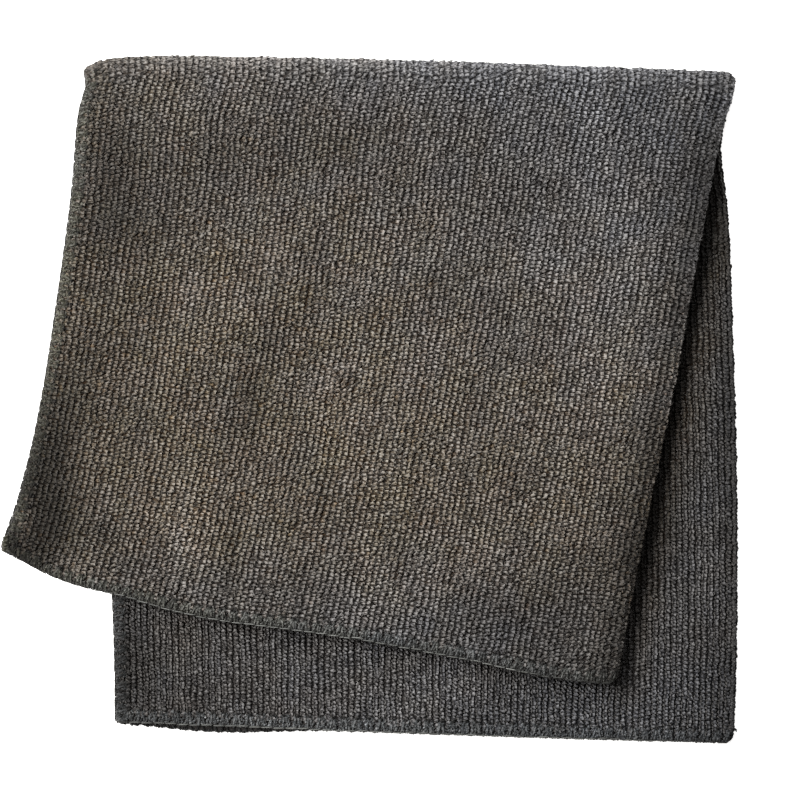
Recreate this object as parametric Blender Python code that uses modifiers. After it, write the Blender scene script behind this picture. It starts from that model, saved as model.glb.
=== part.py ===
"""A knitted microfibre cleaning cloth, folded in four and laid on a table.

The cloth is one square sheet of looped knit with an overlocked edge. It is folded in half at its
right side, and the two plies together are folded over at the top, so that four layers lie on each
other. The front pair of plies has swung ten degrees to the left, over the cut edge of the back
pair, and droops there to the table.

Each point of the flat sheet has two measures. across runs from the cut edge of the outer ply, -1,
round the side fold, 0, to the cut edge of the inner ply, 1. along runs from the back pair's hem,
-1, over the top fold, 0, to the front pair's hem, 1.

Everything is in metres: +X is the laid cloth's right, +Y its top fold, +Z up.
"""

import math
from collections import namedtuple

import bmesh
import bpy
import numpy as np

MM = 0.001

# Driving sizes.
CLOTH_SIDE = 400 * MM  # the flat cloth is square
SHEET_THICKNESS = 2.4 * MM  # knitted ground with the loops of both faces
LAYER_GAP = 0.5 * MM  # air between two layers
SIDE_FULLNESS = 0.35 * MM  # how much further each ply stands from the pair's middle at the side fold
SIDE_FULL_SHARE = 0.12  # share of the width over which that fullness fades
TOP_FULLNESS = 0.8 * MM  # how much higher the front pair stands at the top fold
TOP_FULL_SHARE = 0.16  # share of the length over which that fullness fades

# What follows from them.
PLY_HALF_PITCH = (SHEET_THICKNESS + LAYER_GAP) / 2  # from the middle of a pair to either ply
SIDE_BEND_RADIUS = PLY_HALF_PITCH + SIDE_FULLNESS
SIDE_REACH = SIDE_BEND_RADIUS + SHEET_THICKNESS / 2
TOP_BEND_RADIUS = (SHEET_THICKNESS + 2 * PLY_HALF_PITCH + LAYER_GAP + TOP_FULLNESS) / 2
SIDE_TURN = math.pi * SIDE_BEND_RADIUS / CLOTH_SIDE  # where the side fold starts, as across
TOP_TURN = math.pi * TOP_BEND_RADIUS / CLOTH_SIDE  # where the top fold starts, as along

# The outline of each pair of plies as it lies, in millimetres. share runs from the top fold, 0, to
# the hem, 1. A row of the table is a line across the pair, from its cut edges to its side fold.
Section = namedtuple("Section", "share left_x left_y right_x right_y")
FRONT_SECTIONS = (
    Section(0.00, -89.0, 108.4, 114.5, 103.0),
    Section(0.07, -91.2, 97.6, 111.3, 89.5),
    Section(0.25, -93.7, 69.0, 105.1, 54.8),
    Section(0.50, -98.8, 30.4, 96.6, 6.7),
    Section(0.75, -105.4, -9.0, 86.8, -41.5),
    Section(0.90, -111.1, -31.8, 81.3, -70.3),
    Section(1.00, -116.2, -47.2, 78.0, -89.6),
)
BACK_SECTIONS = (
    Section(0.00, -89.0, 108.4, 114.5, 103.0),
    Section(0.08, -88.0, 91.6, 111.2, 86.1),
    Section(0.20, -86.6, 66.5, 113.2, 60.9),
    Section(0.35, -85.0, 35.0, 114.5, 29.2),
    Section(0.65, -82.5, -28.0, 116.1, -34.1),
    Section(0.90, -80.2, -80.3, 115.8, -86.8),
    Section(1.00, -79.9, -101.3, 115.0, -108.0),
)

# How far a hem bows out from the straight line between its ends, in millimetres. share runs from
# the cut edge, 0, to the side fold, 1.
Bow = namedtuple("Bow", "share out")
FRONT_HEM_BOW = (
    Bow(0.00, 0.0),
    Bow(0.10, 4.8),
    Bow(0.20, 5.8),
    Bow(0.33, 6.9),
    Bow(0.45, 5.3),
    Bow(0.55, 3.8),
    Bow(0.75, 2.3),
    Bow(0.95, 1.4),
    Bow(1.00, 0.0),
)
BACK_HEM_BOW = (Bow(0.00, 0.0), Bow(0.40, 0.4), Bow(0.70, 0.4), Bow(1.00, 0.0))
TOP_FOLD_BOW = 1.0 * MM

# The cut edges go over the top fold in a rounded corner, and the side fold ends in one at the hem.
TOP_CORNER_DROP = 3.5 * MM
TOP_CORNER_RUN = 6.5 * MM
HEM_CORNER_RISE = 1.5 * MM

# Two layers of a pair never end quite alike: the one below shows beyond the one above.
HEM_PEEK = 2.0 * MM  # the outer ply below the inner one, along the back hem
HEM_PEEK_CENTRE = 0.16  # as a share of the width
HEM_PEEK_SPREAD = 0.13
EDGE_PEEK = 0.9 * MM  # the inner ply beside the outer one, along the front pair's cut edges

# Where the front pair overhangs the back pair's cut edges it sinks to the table.
OVERHANG_RUN = 32 * MM
OVERHANG_DROP = 5.5 * MM

# Soft ridges of the front pair: the middle, half the length and half the width, in millimetres,
# the direction in degrees from +X, and the height in millimetres.
Ridge = namedtuple("Ridge", "x y length width direction height")
RIDGES = (
    Ridge(-56, 72, 40, 15, -20, 0.9),
    Ridge(-32, 26, 44, 15, 25, 1.3),
    Ridge(30, 4, 46, 15, -35, 1.2),
    Ridge(74, 40, 22, 16, 10, 1.1),
    Ridge(12, 66, 40, 14, 12, 0.8),
    Ridge(-54, -50, 30, 14, -15, 1.3),
    Ridge(-8, -44, 24, 13, 50, 0.9),
    Ridge(56, -46, 26, 15, -50, 1.0),
)
RIDGE_FADE_SHARE = 0.06  # the ridges fade within this share of the side fold

# Steps of the sheet's mesh, over each flat panel and round each fold.
FLAT_STEPS_ACROSS = 20
FLAT_STEPS_ALONG = 22
SIDE_FOLD_STEPS = 8
TOP_FOLD_STEPS = 10
CUT_EDGE_GRADING = 1.3  # over 1, so that the lines across stand closer near the cut edges

CLOTH_COLOUR = (0.105, 0.092, 0.078, 1.0)
CLOTH_ROUGHNESS = 0.95


def smooth_step(x):
    """0 below 0, 1 above 1, and a smooth rise between them."""
    x = np.clip(x, 0.0, 1.0)
    return x * x * (3 - 2 * x)


def curve_through(rows, name, at):
    """A smooth curve through one column of a table, read at the given shares, in metres."""
    stations = np.array([row.share for row in rows], float)
    values = np.array([getattr(row, name) for row in rows], float) * MM
    slopes = np.gradient(values, stations)
    cell = np.clip(np.searchsorted(stations, at, side="right") - 1, 0, len(stations) - 2)
    step = stations[cell + 1] - stations[cell]
    part = (at - stations[cell]) / step
    rise = values[cell + 1] - values[cell]
    start, end = slopes[cell] * step, slopes[cell + 1] * step
    bend = 3 * rise - 2 * start - end
    twist = start + end - 2 * rise
    return values[cell] + part * (start + part * (bend + part * twist))


def side_fullness(width_share):
    """How much further each ply stands from its pair's middle because of the side fold."""
    return SIDE_FULLNESS * smooth_step(1 - (1 - width_share) / SIDE_FULL_SHARE)


def plan_point(sections, hem_bow, width_share, length_share):
    """Where the middle of a pair of plies lies in plan, its folds' own reach left free."""
    left = np.stack([curve_through(sections, name, length_share) for name in ("left_x", "left_y")])
    right = np.stack([curve_through(sections, name, length_share) for name in ("right_x", "right_y")])
    row = (right - left) / np.hypot(*(right - left))
    hemwards = np.stack([row[1], -row[0]])
    right = right - row * SIDE_REACH

    bow = curve_through(hem_bow, "out", width_share) * length_share**2
    bow = bow - TOP_FOLD_BOW * np.sin(math.pi * width_share) * (1 - length_share) ** 2
    x, y = left + (right - left) * width_share + hemwards * bow

    from_edge = width_share * CLOTH_SIDE / 2
    corner_drop = TOP_CORNER_DROP * np.exp(-from_edge / TOP_CORNER_RUN)
    top_reach = TOP_BEND_RADIUS + PLY_HALF_PITCH + 2 * side_fullness(width_share) + SHEET_THICKNESS / 2
    return x, y - (top_reach + corner_drop) * (1 - length_share) ** 6


def ridge_height(x, y):
    """Height of the front pair's soft ridges: each is a bell curve along and across itself."""
    height = np.zeros_like(x)
    for ridge in RIDGES:
        direction = math.radians(ridge.direction)
        from_x, from_y = x - ridge.x * MM, y - ridge.y * MM
        along = from_x * math.cos(direction) + from_y * math.sin(direction)
        across = from_y * math.cos(direction) - from_x * math.sin(direction)
        bell = np.exp(-((along / (ridge.length * MM)) ** 2) - (across / (ridge.width * MM)) ** 2)
        height += ridge.height * MM * bell
    return height


def back_cut_edge_x(y):
    """Where the back pair's cut edges lie, at a given height up the laid cloth."""
    top, hem = BACK_SECTIONS[0], BACK_SECTIONS[-1]
    share = (top.left_y * MM - y) / ((top.left_y - hem.left_y) * MM)
    return curve_through(BACK_SECTIONS, "left_x", np.clip(share, 0, 1))


def front_height(width_share, length_share):
    """Height of the front pair's middle, lying on the back pair and sinking past its cut edges."""
    x, y = plan_point(FRONT_SECTIONS, FRONT_HEM_BOW, width_share, length_share)
    back_width_share = (x - BACK_SECTIONS[0].left_x * MM) / (CLOTH_SIDE / 2)
    back_top = SHEET_THICKNESS + 2 * (PLY_HALF_PITCH + side_fullness(back_width_share))
    lying = back_top + LAYER_GAP + SHEET_THICKNESS / 2 + PLY_HALF_PITCH + side_fullness(width_share)

    settled = smooth_step(length_share / TOP_FULL_SHARE)
    inside = smooth_step((1 - width_share) / RIDGE_FADE_SHARE)
    drop = OVERHANG_DROP * smooth_step((back_cut_edge_x(y) - x) / OVERHANG_RUN)
    return lying + TOP_FULLNESS * (1 - settled) + (ridge_height(x, y) * inside - drop) * settled


def pair_middle(width_share, along):
    """The point halfway between the two plies of a pair, which goes round the top fold."""
    length_share = np.clip((np.abs(along) - TOP_TURN) / (1 - TOP_TURN), 0, 1)
    back = plan_point(BACK_SECTIONS, BACK_HEM_BOW, width_share, length_share)
    front = plan_point(FRONT_SECTIONS, FRONT_HEM_BOW, width_share, length_share)
    x, y = np.where(along > 0, front, back)
    back_z = SHEET_THICKNESS / 2 + PLY_HALF_PITCH + side_fullness(width_share)
    front_z = front_height(width_share, length_share)

    turn = np.clip(along / TOP_TURN, -1, 1) * math.pi / 2
    in_fold = np.abs(along) < TOP_TURN
    bend_radius = (front_z - back_z) / 2
    y = y + np.where(in_fold, bend_radius * np.cos(turn), 0)
    z = np.where(in_fold, back_z + bend_radius * (1 + np.sin(turn)), np.where(along > 0, front_z, back_z))
    return np.stack([x, y, z], axis=-1)


def unit(vectors):
    """The same directions, each of length one."""
    return vectors / np.linalg.norm(vectors, axis=-1, keepdims=True)


def sheet_point(across, along):
    """A point of the sheet's middle surface: it stands off the pair's middle, outwards for the
    outer ply and inwards for the inner one, and swings round between them at the side fold."""
    width_share = 1 - np.clip((np.abs(across) - SIDE_TURN) / (1 - SIDE_TURN), 0, 1)
    middle = pair_middle(width_share, along)

    step = 1e-4
    wider, narrower = np.minimum(width_share + step, 1), np.maximum(width_share - step, 0)
    sideways = pair_middle(wider, along) - pair_middle(narrower, along)
    onwards = pair_middle(width_share, np.minimum(along + step, 1))
    onwards = onwards - pair_middle(width_share, np.maximum(along - step, -1))
    outwards = unit(np.cross(onwards, sideways))
    past_fold = unit(np.cross(outwards, onwards))

    turn = np.clip(across / SIDE_TURN, -1, 1) * math.pi / 2
    stand_off = PLY_HALF_PITCH + side_fullness(width_share)
    point = middle + past_fold * (stand_off * np.cos(turn))[..., None]
    point = point - outwards * (stand_off * np.sin(turn))[..., None]

    outer_ply = across < 0
    from_centre = (width_share - HEM_PEEK_CENTRE) / HEM_PEEK_SPREAD
    hem_peek = HEM_PEEK * np.exp(-(from_centre**2)) * np.maximum(-along, 0) ** 8
    edge_peek = EDGE_PEEK * (1 - width_share) ** 8 * smooth_step(4 * along)
    corner_rise = HEM_CORNER_RISE * np.cos(turn) ** 2 * np.abs(along) ** 40
    point[..., 0] += np.where(outer_ply, edge_peek, 0)
    point[..., 1] += corner_rise - np.where(outer_ply, hem_peek, 0)
    return point


def mesh_lines(turn, flat_steps, fold_steps, grading):
    """Where the mesh's lines cross one measure of the sheet, from -1 to 1."""
    flat = -1 + (1 - turn) * np.linspace(0, 1, flat_steps + 1) ** grading
    fold = np.linspace(-turn, turn, fold_steps + 1)
    return np.concatenate([flat[:-1], fold, -flat[-2::-1]])


def folded_sheet():
    """A flat square grid, each corner of which is moved to its place on the folded cloth."""
    across_lines = mesh_lines(SIDE_TURN, FLAT_STEPS_ACROSS, SIDE_FOLD_STEPS, CUT_EDGE_GRADING)
    along_lines = mesh_lines(TOP_TURN, FLAT_STEPS_ALONG, TOP_FOLD_STEPS, 1)
    grid = bmesh.new()
    bmesh.ops.create_grid(
        grid, x_segments=len(across_lines) - 1, y_segments=len(along_lines) - 1, size=1
    )
    sheet = bpy.data.meshes.new("cloth")
    grid.to_mesh(sheet)
    grid.free()

    corners = np.empty(3 * len(sheet.vertices))
    sheet.vertices.foreach_get("co", corners)
    grid_x, grid_y, _ = corners.reshape(-1, 3).T
    across = np.interp(grid_x, np.linspace(-1, 1, len(across_lines)), across_lines)
    along = np.interp(grid_y, np.linspace(-1, 1, len(along_lines)), along_lines)
    sheet.vertices.foreach_set("co", sheet_point(across, along).ravel())
    sheet.update()
    return sheet


def cloth_material():
    """Dark warm grey knit."""
    material = bpy.data.materials.new("microfibre knit")
    material.use_nodes = True
    principled = material.node_tree.nodes["Principled BSDF"]
    principled.inputs["Base Color"].default_value = CLOTH_COLOUR
    principled.inputs["Roughness"].default_value = CLOTH_ROUGHNESS
    return material


def main():
    for thing in list(bpy.data.objects):
        bpy.data.objects.remove(thing)
    collection = bpy.data.collections.new("microfibre_cloth")
    bpy.context.scene.collection.children.link(collection)

    sheet = folded_sheet()
    sheet.materials.append(cloth_material())
    cloth = bpy.data.objects.new("cloth", sheet)
    collection.objects.link(cloth)
    solidify = cloth.modifiers.new("sheet thickness", "SOLIDIFY")
    solidify.thickness = SHEET_THICKNESS
    solidify.offset = 0
    solidify.use_even_offset = True


main()
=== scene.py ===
# %% [markdown]
# # A microfibre cleaning cloth, folded in four
# The cloth is one square of looped knit, 400 mm a side, with an overlocked edge. It is folded in
# half at its right side, and both plies are folded over at the top. The upper pair of plies has
# swung ten degrees to the left.
#
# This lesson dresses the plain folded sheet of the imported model. It lays a thin knitted ground on
# the same folds, covers its outer face with many thousand small loops in ribs, and sews the edge.
# Lengths are in metres: +X is the cloth's right, +Y its top fold and +Z up.

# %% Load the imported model
import math
from collections import namedtuple

import bpy
import numpy as np
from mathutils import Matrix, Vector


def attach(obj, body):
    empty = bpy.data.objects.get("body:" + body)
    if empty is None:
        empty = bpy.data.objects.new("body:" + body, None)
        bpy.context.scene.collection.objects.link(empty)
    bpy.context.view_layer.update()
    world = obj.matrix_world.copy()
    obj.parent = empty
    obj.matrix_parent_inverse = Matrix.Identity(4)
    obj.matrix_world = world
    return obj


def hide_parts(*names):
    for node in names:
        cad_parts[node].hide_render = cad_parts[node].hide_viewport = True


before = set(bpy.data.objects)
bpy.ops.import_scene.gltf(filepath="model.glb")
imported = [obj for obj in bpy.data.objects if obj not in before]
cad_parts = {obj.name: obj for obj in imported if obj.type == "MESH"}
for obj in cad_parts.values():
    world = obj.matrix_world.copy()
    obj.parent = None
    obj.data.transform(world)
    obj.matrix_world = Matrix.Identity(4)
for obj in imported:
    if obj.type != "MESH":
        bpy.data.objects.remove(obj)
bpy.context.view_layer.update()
CLOTH_NODE = "cloth"

# %% [markdown]
# ## Sizes of the cloth
# A fold can be drawn by hand, but every loop and stitch has to lie on it, so the folded sheet is
# worked out as a function of two measures of the flat cloth. across runs from the cut edge of the
# outer ply, -1, round the side fold, 0, to the cut edge of the inner ply, 1. along runs from the
# hem of the back pair of plies, -1, over the top fold, 0, to the hem of the front pair, 1.
# The sizes and the outline are those of the solid.

# %% Sizes of the cloth
MM = 0.001
CLOTH_SIDE = 400 * MM
HALF_SIDE = CLOTH_SIDE / 2  # one unit of across or along
THICKNESS = 2.4 * MM
LAYER_GAP = 0.5 * MM
SIDE_FULLNESS, SIDE_FULL_SHARE = 0.35 * MM, 0.12
TOP_FULLNESS, TOP_FULL_SHARE = 0.8 * MM, 0.16

HALF_PITCH = (THICKNESS + LAYER_GAP) / 2
SIDE_RADIUS = HALF_PITCH + SIDE_FULLNESS
SIDE_REACH = SIDE_RADIUS + THICKNESS / 2
TOP_RADIUS = (THICKNESS + 2 * HALF_PITCH + LAYER_GAP + TOP_FULLNESS) / 2
SIDE_TURN = math.pi * SIDE_RADIUS / CLOTH_SIDE
TOP_TURN = math.pi * TOP_RADIUS / CLOTH_SIDE

# Each column is a line across a pair of plies: its share of the way from the top fold to the hem,
# then the x and y of its left end and of its right end in mm.
FRONT_OUTLINE = np.array((
    (0.00, 0.07, 0.25, 0.50, 0.75, 0.90, 1.00),
    (-89.0, -91.2, -93.7, -98.8, -105.4, -111.1, -116.2),
    (108.4, 97.6, 69.0, 30.4, -9.0, -31.8, -47.2),
    (114.5, 111.3, 105.1, 96.6, 86.8, 81.3, 78.0),
    (103.0, 89.5, 54.8, 6.7, -41.5, -70.3, -89.6),
))
BACK_OUTLINE = np.array((
    (0.00, 0.08, 0.20, 0.35, 0.65, 0.90, 1.00),
    (-89.0, -88.0, -86.6, -85.0, -82.5, -80.2, -79.9),
    (108.4, 91.6, 66.5, 35.0, -28.0, -80.3, -101.3),
    (114.5, 111.2, 113.2, 114.5, 116.1, 115.8, 115.0),
    (103.0, 86.1, 60.9, 29.2, -34.1, -86.8, -108.0),
))
# How far a hem bows out, in mm, at shares of the way from the cut edge to the side fold.
FRONT_HEM_BOW = np.array((
    (0.00, 0.10, 0.20, 0.33, 0.45, 0.55, 0.75, 0.95, 1.00),
    (0.0, 4.8, 5.8, 6.9, 5.3, 3.8, 2.3, 1.4, 0.0),
))
BACK_HEM_BOW = np.array(((0.00, 0.40, 0.70, 1.00), (0.0, 0.4, 0.4, 0.0)))
TOP_FOLD_BOW = 1.0 * MM
TOP_CORNER_DROP, TOP_CORNER_RUN = 3.5 * MM, 6.5 * MM
HEM_CORNER_RISE = 1.5 * MM
HEM_PEEK, HEM_PEEK_CENTRE, HEM_PEEK_SPREAD = 2.0 * MM, 0.16, 0.13
EDGE_PEEK = 0.9 * MM
OVERHANG_DROP, OVERHANG_RUN = 5.5 * MM, 32 * MM
print("lines across the front pair:", FRONT_OUTLINE.shape[1], "and the back:", BACK_OUTLINE.shape[1])

# %% [markdown]
# ## Soft ridges
# The upper pair doesn't lie dead flat: soft ridges and hollows a few centimetres wide run over it.
# They could be a cloth simulation, but a simulation wouldn't put them where they are on this cloth,
# so each is a bell curve along and across itself. The fine ripples are a sum of sine waves.

# %% Soft ridges
# Rows of a middle x and y, a half length and a half width in mm, a direction, and a height in mm.
RIDGES = (
    (-56, 72, 40, 15, -20, 0.9), (-32, 26, 44, 15, 25, 1.3), (30, 4, 46, 15, -35, 1.2),
    (74, 40, 22, 16, 10, 1.1), (12, 66, 40, 14, 12, 0.8), (-54, -50, 30, 14, -15, 1.3),
    (-8, -44, 24, 13, 50, 0.9), (56, -46, 26, 15, -50, 1.0),
)
RIDGE_FADE_SHARE = 0.06
Waves = namedtuple("Waves", "height shortest longest seed")
RIPPLES = Waves(0.10 * MM, 11 * MM, 38 * MM, 3)
WAVE_COUNT = 14


def smooth(x):
    """0 below 0, 1 above 1, and 3 x^2 - 2 x^3 between them."""
    x = np.clip(x, 0.0, 1.0)
    return x * x * (3 - 2 * x)


def uneven(x, y, waves):
    """An uneven field about 0: a height times a sum of sine waves of random direction, start and
    length, divided by the root of half their number."""
    draw = np.random.default_rng(waves.seed)
    field = np.zeros_like(x)
    for _ in range(WAVE_COUNT):
        wavelength = waves.shortest * (waves.longest / waves.shortest) ** draw.uniform()
        direction, start = draw.uniform(0, 2 * math.pi, 2)
        u = x * math.cos(direction) + y * math.sin(direction)
        field += np.sin(2 * math.pi * u / wavelength + start)
    return waves.height * (field / math.sqrt(WAVE_COUNT / 2))


def bells(x, y, rows, unit=1):
    """The sum of height * unit * exp(-(u / length)^2 - (v / width)^2) over the rows of a table, with
    u along a row's direction and v across it."""
    total = 0
    for middle_x, middle_y, length, width, degrees, height in rows:
        direction = math.radians(degrees)
        from_x, from_y = x - middle_x * MM, y - middle_y * MM
        u = from_x * math.cos(direction) + from_y * math.sin(direction)
        v = from_y * math.cos(direction) - from_x * math.sin(direction)
        bell = np.exp(-((u / (length * MM)) ** 2) - (v / (width * MM)) ** 2)
        total = total + height * unit * bell
    return total


print("ridges:", len(RIDGES), "height of the ripples, mm:", round(RIPPLES.height / MM, 2))

# %% [markdown]
# ## The folded sheet as a function
# Two plies that lie on each other share one middle surface. The middle of a pair goes flat over the
# table, round the top fold in a half circle, and back over itself. Each ply then stands off that
# middle by half a pitch, outwards or inwards, and the side fold is the half circle that joins them.
# Two half circles in turn are all that a quarter fold needs.


# %% The folded sheet as a function
def curve_through(table, at):
    """Cubics through a table's rows, read at shares of its first row, in metres. In each step p runs
    from 0 to 1, and a value is v0 + p (s0 + p (b + p t)), with end slopes from the neighbours."""
    stations, values = table[0], table[1:] * MM
    slopes = np.gradient(values, stations, axis=1)
    cell = np.clip(np.searchsorted(stations, at, side="right") - 1, 0, len(stations) - 2)
    step = stations[cell + 1] - stations[cell]
    part = (at - stations[cell]) / step
    rise = values[:, cell + 1] - values[:, cell]
    start, end = slopes[:, cell] * step, slopes[:, cell + 1] * step
    bend = 3 * rise - 2 * start - end
    twist = start + end - 2 * rise
    return values[:, cell] + part * (start + part * (bend + part * twist))


def fullness(width):
    """Full at the side fold, width 1, and gone within SIDE_FULL_SHARE of it."""
    return SIDE_FULLNESS * smooth(1 - (1 - width) / SIDE_FULL_SHARE)


def plan_point(outline, hem_bow, width, length):
    """left + (right - left) * width, plus the bow towards the hem, less the folds' reach."""
    ends = curve_through(outline, length)
    left, right = ends[:2], ends[2:]
    row = (right - left) / np.hypot(*(right - left))
    hemwards = np.stack([row[1], -row[0]])
    right = right - row * SIDE_REACH

    bow = curve_through(hem_bow, width)[0] * length**2
    bow = bow - TOP_FOLD_BOW * np.sin(math.pi * width) * (1 - length) ** 2
    x, y = left + (right - left) * width + hemwards * bow

    corner_drop = TOP_CORNER_DROP * np.exp(-width * HALF_SIDE / TOP_CORNER_RUN)
    top_reach = TOP_RADIUS + HALF_PITCH + 2 * fullness(width) + THICKNESS / 2
    return x, y - (top_reach + corner_drop) * (1 - length) ** 6


def back_edge_x(y):
    """Where the back pair's cut edges lie, at a given y."""
    top_y, hem_y = BACK_OUTLINE[2, [0, -1]]
    share = (top_y * MM - y) / ((top_y - hem_y) * MM)
    return curve_through(BACK_OUTLINE, np.clip(share, 0, 1))[0]


def front_height(width, length):
    """The back pair's top, plus the gap and half the pair, plus the ridges, less the overhang."""
    x, y = plan_point(FRONT_OUTLINE, FRONT_HEM_BOW, width, length)
    back_width = (x - BACK_OUTLINE[1, 0] * MM) / HALF_SIDE
    back_top = THICKNESS + 2 * (HALF_PITCH + fullness(back_width))
    lying = back_top + LAYER_GAP + THICKNESS / 2 + HALF_PITCH + fullness(width)

    settled = smooth(length / TOP_FULL_SHARE)
    inside = smooth((1 - width) / RIDGE_FADE_SHARE)
    ridges = uneven(x, y, RIPPLES) + bells(x, y, RIDGES, MM)
    drop = OVERHANG_DROP * smooth((back_edge_x(y) - x) / OVERHANG_RUN)
    return lying + TOP_FULLNESS * (1 - settled) + (ridges * inside - drop) * settled


def pair_middle(width, along):
    """Flat, then (r cos a, r + r sin a) round the top fold as a goes from -90 to 90 degrees."""
    length = np.clip((np.abs(along) - TOP_TURN) / (1 - TOP_TURN), 0, 1)
    back = plan_point(BACK_OUTLINE, BACK_HEM_BOW, width, length)
    front = plan_point(FRONT_OUTLINE, FRONT_HEM_BOW, width, length)
    x, y = np.where(along > 0, front, back)
    back_z = THICKNESS / 2 + HALF_PITCH + fullness(width)
    front_z = front_height(width, length)

    turn = np.clip(along / TOP_TURN, -1, 1) * math.pi / 2
    in_fold = np.abs(along) < TOP_TURN
    radius = (front_z - back_z) / 2
    y = y + np.where(in_fold, radius * np.cos(turn), 0)
    flat_z = np.where(along > 0, front_z, back_z)
    z = np.where(in_fold, back_z + radius * (1 + np.sin(turn)), flat_z)
    return np.stack([x, y, z], axis=-1)


def unit(vectors):
    """The same directions, each of length one."""
    return vectors / np.linalg.norm(vectors, axis=-1, keepdims=True)


def sheet_point(across, along):
    """middle + past_fold * s cos(a) - outwards * s sin(a): s is half the pair's pitch, and a goes
    from -90 degrees on the outer ply to 90 on the inner one, round the side fold."""
    width = 1 - np.clip((np.abs(across) - SIDE_TURN) / (1 - SIDE_TURN), 0, 1)
    middle = pair_middle(width, along)

    step = 1e-4
    wider, narrower = np.minimum(width + step, 1), np.maximum(width - step, 0)
    sideways = pair_middle(wider, along) - pair_middle(narrower, along)
    onwards = pair_middle(width, np.minimum(along + step, 1))
    onwards = onwards - pair_middle(width, np.maximum(along - step, -1))
    outwards = unit(np.cross(onwards, sideways))
    past_fold = unit(np.cross(outwards, onwards))

    turn = np.clip(across / SIDE_TURN, -1, 1) * math.pi / 2
    stand_off = HALF_PITCH + fullness(width)
    point = middle + past_fold * (stand_off * np.cos(turn))[..., None]
    point = point - outwards * (stand_off * np.sin(turn))[..., None]

    # The lower of two plies peeks out beyond the upper one, most near a hem and near a cut edge.
    from_centre = (width - HEM_PEEK_CENTRE) / HEM_PEEK_SPREAD
    hem_peek = HEM_PEEK * np.exp(-(from_centre**2)) * np.maximum(-along, 0) ** 8
    edge_peek = EDGE_PEEK * (1 - width) ** 8 * smooth(4 * along)
    corner_rise = HEM_CORNER_RISE * np.cos(turn) ** 2 * np.abs(along) ** 40
    point[..., 0] += np.where(across < 0, edge_peek, 0)
    point[..., 1] += corner_rise - np.where(across < 0, hem_peek, 0)
    return point


Place = namedtuple("Place", "point across_way along_way face_up")


def sheet_place(across, along):
    """The sheet's middle at a place, with unit vectors along its two measures by differences, and
    their cross product, which points out of the looped face."""
    step = 2e-4
    right, left = np.minimum(across + step, 1), np.maximum(across - step, -1)
    on, back = np.minimum(along + step, 1), np.maximum(along - step, -1)
    across_way = unit(sheet_point(right, along) - sheet_point(left, along))
    along_way = unit(sheet_point(across, on) - sheet_point(across, back))
    face_up = unit(np.cross(along_way, across_way))
    return Place(sheet_point(across, along), across_way, along_way, face_up)


corners = sheet_point(np.array([-1.0, 0.0, 1.0, -1.0]), np.array([1.0, 1.0, 1.0, -1.0]))
print("corners of the front hem and of the back hem, mm:", np.round(corners / MM, 1).tolist())

# %% [markdown]
# ## Camera, light and floor
# The cloth is seen from straight above, as it lies, from far enough away that its near and far
# layers keep one scale. The light is that of a big soft window at its left, so each loop has a
# bright and a dark side, and the side fold throws a soft dark band on the layers below it. A weaker
# light comes from the top. The floor is plain and pale.

# %% Camera, light and floor
VIEW_WIDTH = 252 * MM  # what the picture takes in, on the upper layers
VIEW_CENTRE = (9.45 * MM, -0.16 * MM)
VIEW_HEIGHT, UPPER_LEVEL = 2.4, 10 * MM
FILM_WIDTH_MM = 36


def put_in_scene(name, data):
    """A new object that shows the data, at the origin."""
    thing = bpy.data.objects.new(name, data)
    bpy.context.scene.collection.objects.link(thing)
    return thing


def fill(node, inputs):
    """Sets a node's inputs to plain values, or links them where the value is another's output."""
    for name, value in inputs.items():
        if isinstance(value, bpy.types.NodeSocket):
            node.id_data.links.new(value, node.inputs[name])
        else:
            node.inputs[name].default_value = value


camera_data = bpy.data.cameras.new("camera")
camera_data.sensor_width = FILM_WIDTH_MM
camera_data.lens = FILM_WIDTH_MM * VIEW_HEIGHT / VIEW_WIDTH
camera = put_in_scene("camera", camera_data)
camera.location = (*VIEW_CENTRE, VIEW_HEIGHT + UPPER_LEVEL)
bpy.context.scene.camera = camera
bpy.context.scene.view_settings.view_transform = "Standard"

Lamp = namedtuple("Lamp", "name azimuth elevation distance size power colour")
LAMPS = (
    Lamp("window", 168, 45, 1.1, 0.62, 32.8, (1.0, 0.985, 0.955)),
    Lamp("top", 88, 46, 1.2, 0.80, 8.5, (0.97, 0.98, 1.0)),
)
for row in LAMPS:
    lamp_data = bpy.data.lights.new(row.name, "AREA")
    lamp_data.size, lamp_data.energy, lamp_data.color = row.size, row.power, row.colour
    azimuth, elevation = math.radians(row.azimuth), math.radians(row.elevation)
    flat = math.cos(elevation)
    away = Vector((flat * math.cos(azimuth), flat * math.sin(azimuth), math.sin(elevation)))
    lamp = put_in_scene(row.name, lamp_data)
    lamp.location = away * row.distance
    lamp.rotation_mode = "QUATERNION"
    lamp.rotation_quaternion = away.to_track_quat("Z", "Y")

SKY_LOOK = {"Color": (1.0, 0.93, 0.86, 1.0), "Strength": 0.165}
world = bpy.data.worlds.new("pale sky")
world.use_nodes = True
fill(world.node_tree.nodes["Background"], SKY_LOOK)
bpy.context.scene.world = world

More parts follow.
